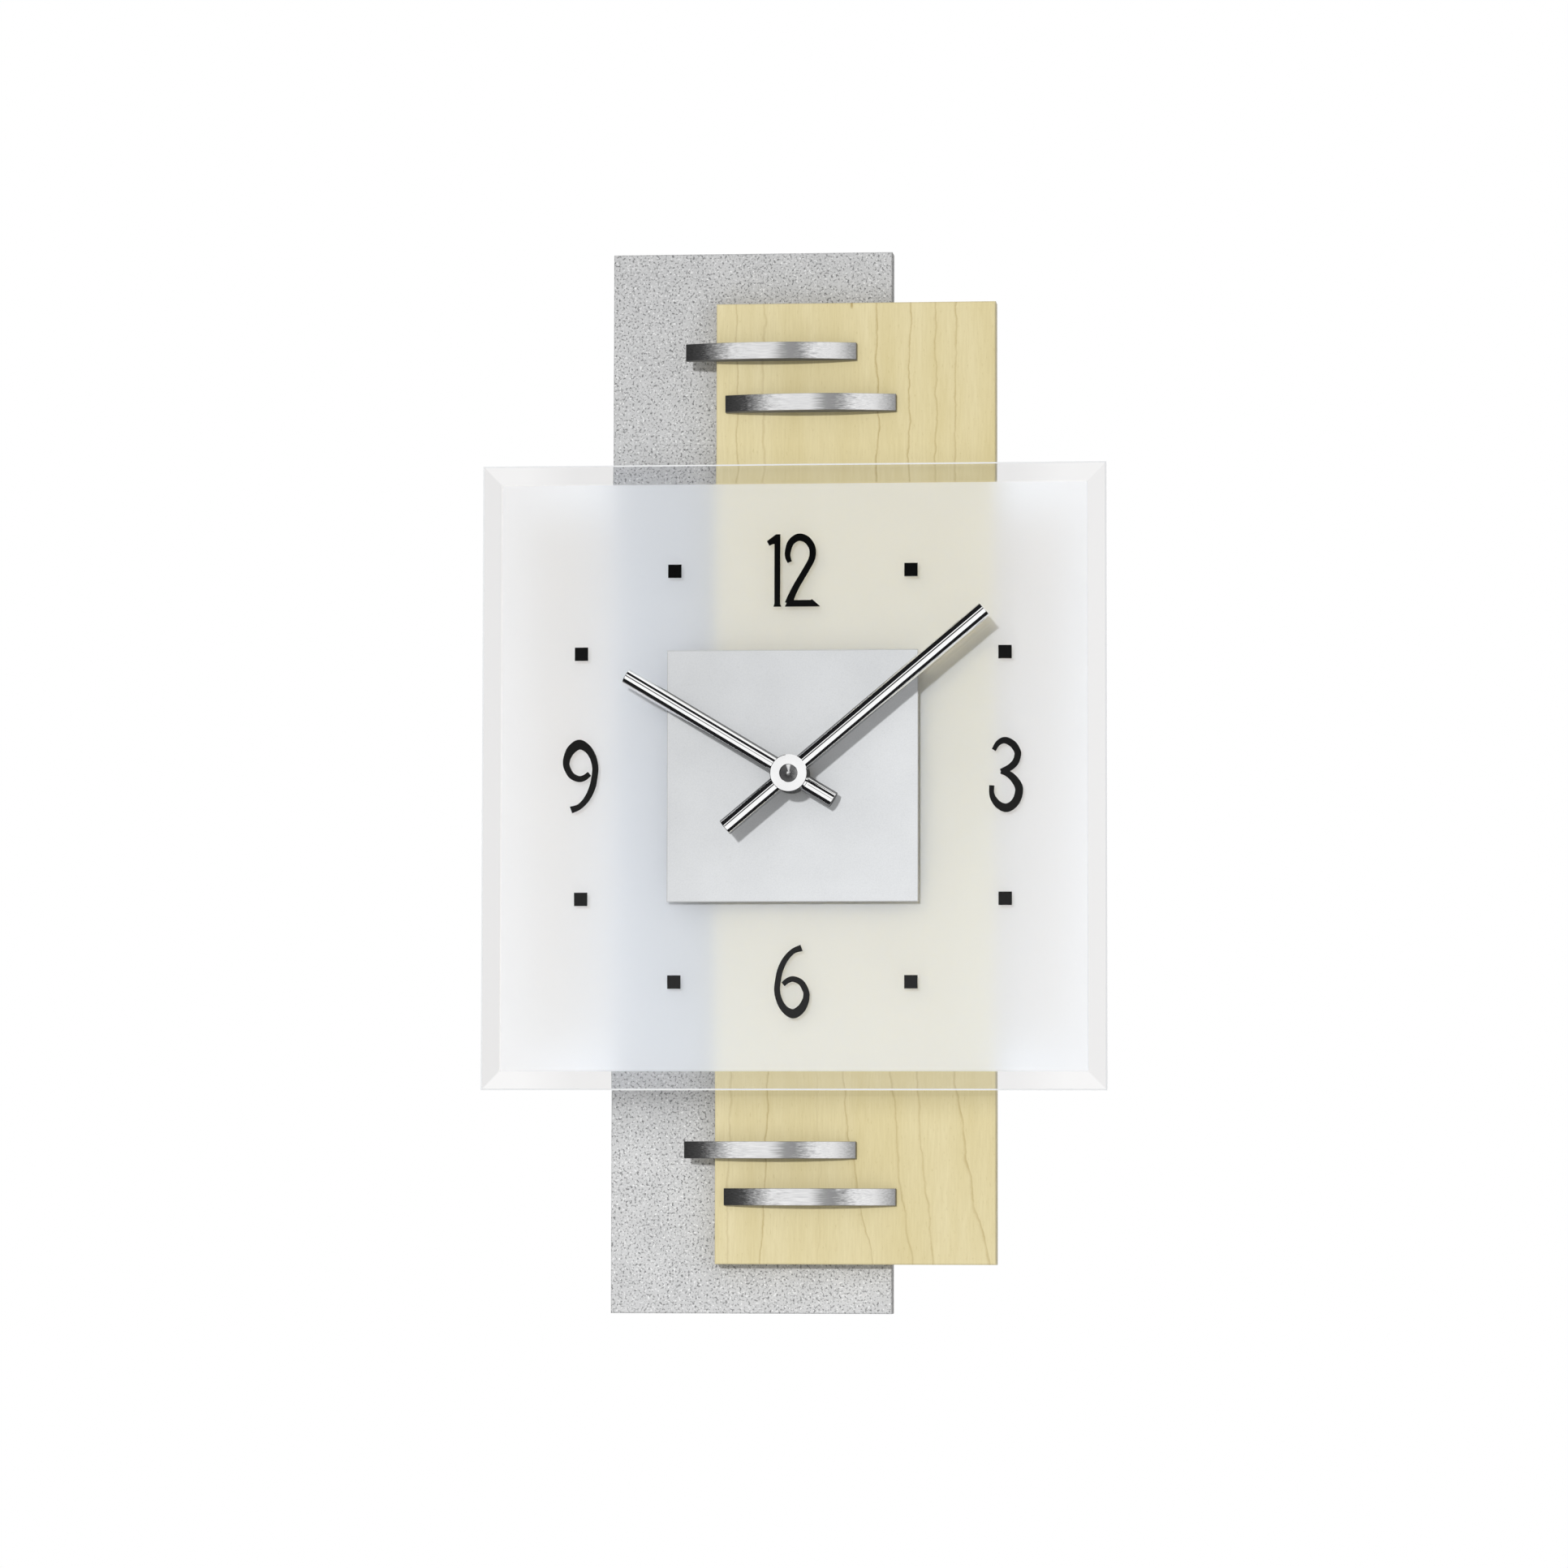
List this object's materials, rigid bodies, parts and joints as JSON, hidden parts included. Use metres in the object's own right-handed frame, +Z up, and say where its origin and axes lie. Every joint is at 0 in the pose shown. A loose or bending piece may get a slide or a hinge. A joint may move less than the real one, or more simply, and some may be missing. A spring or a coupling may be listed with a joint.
{
  "type": "wall clock",
  "caption": "Wall clock with a square bevelled glass dial on standoffs over offset maple and silver boards, bright rod hands, arched bars and a geared battery movement.",
  "frame": {"origin": "on the wall plane, where the dial's axis meets it", "axes": "+X to the right seen from the front, +Y into the wall, +Z up; the dial faces -Y"},
  "size_m": [0.24, 0.0499, 0.41],
  "materials": {
    "silver_lacquer": "fine metallic silver lacquer over fibreboard, satin",
    "maple_veneer": "pale maple veneer with thin brown grain lines, satin varnish",
    "dial_glass": "clear float glass, polished bevel, frosted on its back inside the bevel",
    "plate_aluminium": "fine satin anodised",
    "bar_aluminium": "brushed along the length",
    "standoff_aluminium": "turned",
    "hand_aluminium": "mirror polished, bright plated",
    "screw_steel": "zinc plated",
    "hanger_steel": "zinc plated, pale",
    "bond_pad": "cured clear adhesive pad",
    "bush_brass": "turned and threaded",
    "washer_rubber": "matt black",
    "case_plastic": "black, finely textured",
    "knob_plastic": "off-white, moulded",
    "wheel_plastic": "natural acetal",
    "arbor_steel": "turned bright",
    "magnet_dark": "sintered, dark grey",
    "stator_steel": "annealed, dull",
    "bobbin_plastic": "moulded",
    "winding_copper": "enamelled copper wire",
    "board_laminate": "green solder mask",
    "chip_resin": "moulded resin",
    "crystal_can": "drawn can",
    "battery_sleeve": "plain printed sleeve with bright ends",
    "contact_nickel": "nickel plated strip"
  },
  "bodies": {
    "frame": {"silver_board": "silver_lacquer", "maple_board": "maple_veneer", "glass_dial": "dial_glass", "dial_plate": "plate_aluminium", "upper_bow_bar_left": "bar_aluminium", "upper_bow_bar_right": "bar_aluminium", "lower_bow_bar_left": "bar_aluminium", "lower_bow_bar_right": "bar_aluminium", "silver_standoffs": "standoff_aluminium", "maple_standoffs": "standoff_aluminium", "board_screws": "screw_steel", "silver_standoff_screws": "screw_steel", "maple_standoff_screws": "screw_steel", "bow_bar_screws": "screw_steel", "hanger_screws": "screw_steel", "cover_screws": "screw_steel", "hanger_plate": "hanger_steel", "bond_discs": "bond_pad", "threaded_bush": "bush_brass", "brass_washer": "bush_brass", "fixing_nut": "bush_brass", "rubber_washer": "washer_rubber", "movement_case": "case_plastic", "movement_cover": "case_plastic", "stator": "stator_steel", "coil_bobbin": "bobbin_plastic", "coil_winding": "winding_copper", "circuit_board": "board_laminate", "control_chip": "chip_resin", "quartz_crystal": "crystal_can", "battery": "battery_sleeve", "battery_contact_positive": "contact_nickel", "battery_contact_negative": "contact_nickel"},
    "minute": {"minute_arbor": "arbor_steel", "clutch_spring": "arbor_steel", "minute_hand": "hand_aluminium", "hand_nut": "hand_aluminium"},
    "hour": {"hour_wheel": "wheel_plastic", "hour_hand": "hand_aluminium"},
    "motion": {"motion_wheel": "wheel_plastic"},
    "setting": {"setting_knob": "knob_plastic"},
    "centre": {"centre_wheel": "wheel_plastic"},
    "third": {"third_wheel": "wheel_plastic"},
    "seconds": {"seconds_wheel": "wheel_plastic"},
    "intermediate": {"intermediate_wheel": "wheel_plastic"},
    "rotor": {"rotor_pinion": "wheel_plastic", "rotor_magnet": "magnet_dark"}
  },
  "joints": [
    {"name": "minute_turn", "type": "hinge", "parent": "frame", "child": "minute", "pos_m": [0, 0, 0], "axis": [0, 1, 0], "continuous": true},
    {"name": "hour_turn", "type": "hinge", "parent": "frame", "child": "hour", "pos_m": [0, 0, 0], "axis": [0, 1, 0], "continuous": true},
    {"name": "motion_turn", "type": "hinge", "parent": "frame", "child": "motion", "pos_m": [0.00624, 0, 0.0036], "axis": [0, 1, 0], "continuous": true},
    {"name": "setting_turn", "type": "hinge", "parent": "frame", "child": "setting", "pos_m": [0.01328, 0, 0.0051], "axis": [0, 1, 0], "continuous": true},
    {"name": "centre_turn", "type": "hinge", "parent": "frame", "child": "centre", "pos_m": [0, 0, 0], "axis": [0, 1, 0], "continuous": true},
    {"name": "third_turn", "type": "hinge", "parent": "frame", "child": "third", "pos_m": [-0.00636, 0, 0.00636], "axis": [0, 1, 0], "continuous": true},
    {"name": "seconds_turn", "type": "hinge", "parent": "frame", "child": "seconds", "pos_m": [-0.01157, 0, 0.01073], "axis": [0, 1, 0], "continuous": true},
    {"name": "intermediate_turn", "type": "hinge", "parent": "frame", "child": "intermediate", "pos_m": [-0.01792, 0, 0.01369], "axis": [0, 1, 0], "continuous": true},
    {"name": "rotor_turn", "type": "hinge", "parent": "frame", "child": "rotor", "pos_m": [-0.01402, 0, 0.01926], "axis": [0, 1, 0], "continuous": true}
  ],
  "couplings": [
    {"joint": "hour_turn", "follows": "minute_turn", "ratio": 0.083333},
    {"joint": "motion_turn", "follows": "minute_turn", "ratio": -0.33333},
    {"joint": "setting_turn", "follows": "minute_turn", "ratio": 1},
    {"joint": "intermediate_turn", "follows": "rotor_turn", "ratio": -0.13333},
    {"joint": "seconds_turn", "follows": "rotor_turn", "ratio": 0.033333},
    {"joint": "third_turn", "follows": "rotor_turn", "ratio": -0.0044444},
    {"joint": "centre_turn", "follows": "rotor_turn", "ratio": 0.00055556}
  ]
}
